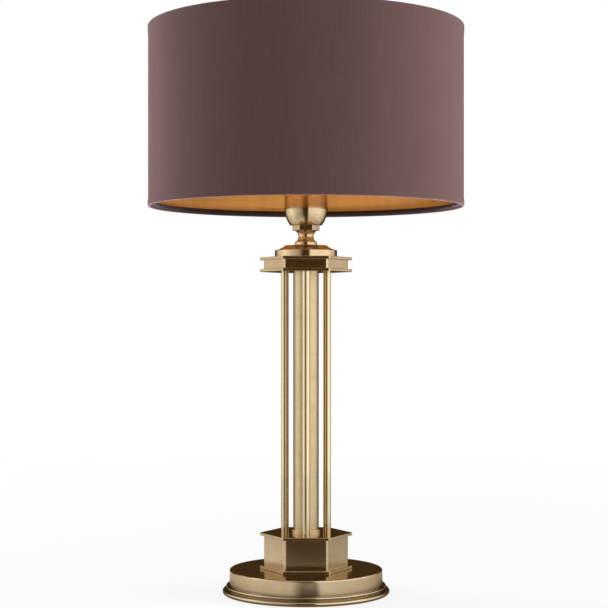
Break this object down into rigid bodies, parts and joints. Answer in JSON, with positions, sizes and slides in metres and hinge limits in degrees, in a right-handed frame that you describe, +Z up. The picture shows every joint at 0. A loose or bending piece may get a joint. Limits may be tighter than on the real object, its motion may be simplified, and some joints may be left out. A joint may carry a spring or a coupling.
{
  "type": "table lamp",
  "caption": "Table lamp with a drum shade on a column of slender rods around a tube, between hexagonal plates, on a moulded round foot.",
  "frame": {"origin": "centre of the felt underside, on the surface that the lamp stands on", "axes": "+Z up the column; the front flat of the hexagons looks along -Y; a hexagon corner lies at each end of X; the lead bush is at +Y"},
  "size_m": [0.321, 0.321, 0.5745],
  "materials": {
    "turned_brass": "antique, circular satin brushing",
    "brushed_brass": "antique, straight satin brushing",
    "polished_brass": "polished, lacquered",
    "contact_brass": "bright",
    "cast_iron": "as cast, painted black",
    "zinc_steel": "zinc plated",
    "felt": "pressed felt",
    "bush_plastic": "moulded",
    "holder_plastic": "moulded",
    "ceramic": "unglazed, white",
    "shade_cloth": "fine woven, mauve brown",
    "gold_liner": "metallic gold film, satin",
    "frame_wire": "gold lacquer"
  },
  "bodies": {
    "stand": {"ballast": "cast_iron", "base_cover": "zinc_steel", "base_shell": "turned_brass", "capital_box": "brushed_brass", "capital_lower_plate": "brushed_brass", "capital_upper_plate": "brushed_brass", "central_tube": "turned_brass", "centre_contact": "contact_brass", "cover_screws": "zinc_steel", "cup_nut": "zinc_steel", "cup_washer": "zinc_steel", "dome_cap": "turned_brass", "felt_pad": "felt", "foot_nut": "zinc_steel", "foot_washer": "zinc_steel", "holder_core": "ceramic", "holder_cover": "holder_plastic", "holder_skirt": "holder_plastic", "lead_bush": "bush_plastic", "neck": "turned_brass", "pedestal_box": "brushed_brass", "pedestal_lower_plate": "brushed_brass", "pedestal_upper_plate": "brushed_brass", "rod_front": "polished_brass", "rod_rear_left": "polished_brass", "rod_rear_right": "polished_brass", "screw_shell": "contact_brass", "socket_cup": "turned_brass", "terminal_screws": "contact_brass", "tie_pipe": "zinc_steel", "tube_foot_ring": "turned_brass", "tube_locator_foot": "zinc_steel", "tube_locator_head": "zinc_steel"},
    "shade": {"fitter_arm_left": "frame_wire", "fitter_arm_rear": "frame_wire", "fitter_arm_right": "frame_wire", "fitter_ring": "frame_wire", "lower_wire_ring": "frame_wire", "shade_cover": "shade_cloth", "shade_liner": "gold_liner", "upper_wire_ring": "frame_wire"},
    "shade_ring": {"shade_ring": "holder_plastic"}
  },
  "joints": [
    {"name": "shade_lift", "type": "slide", "parent": "stand", "child": "shade", "axis": [0, 0, 1], "range_m": [0, 0.08]},
    {"name": "shade_ring_turn", "type": "hinge", "parent": "shade", "child": "shade_ring", "pos_m": [0, 0, 0.4276], "axis": [0, 0, 1], "continuous": true}
  ]
}
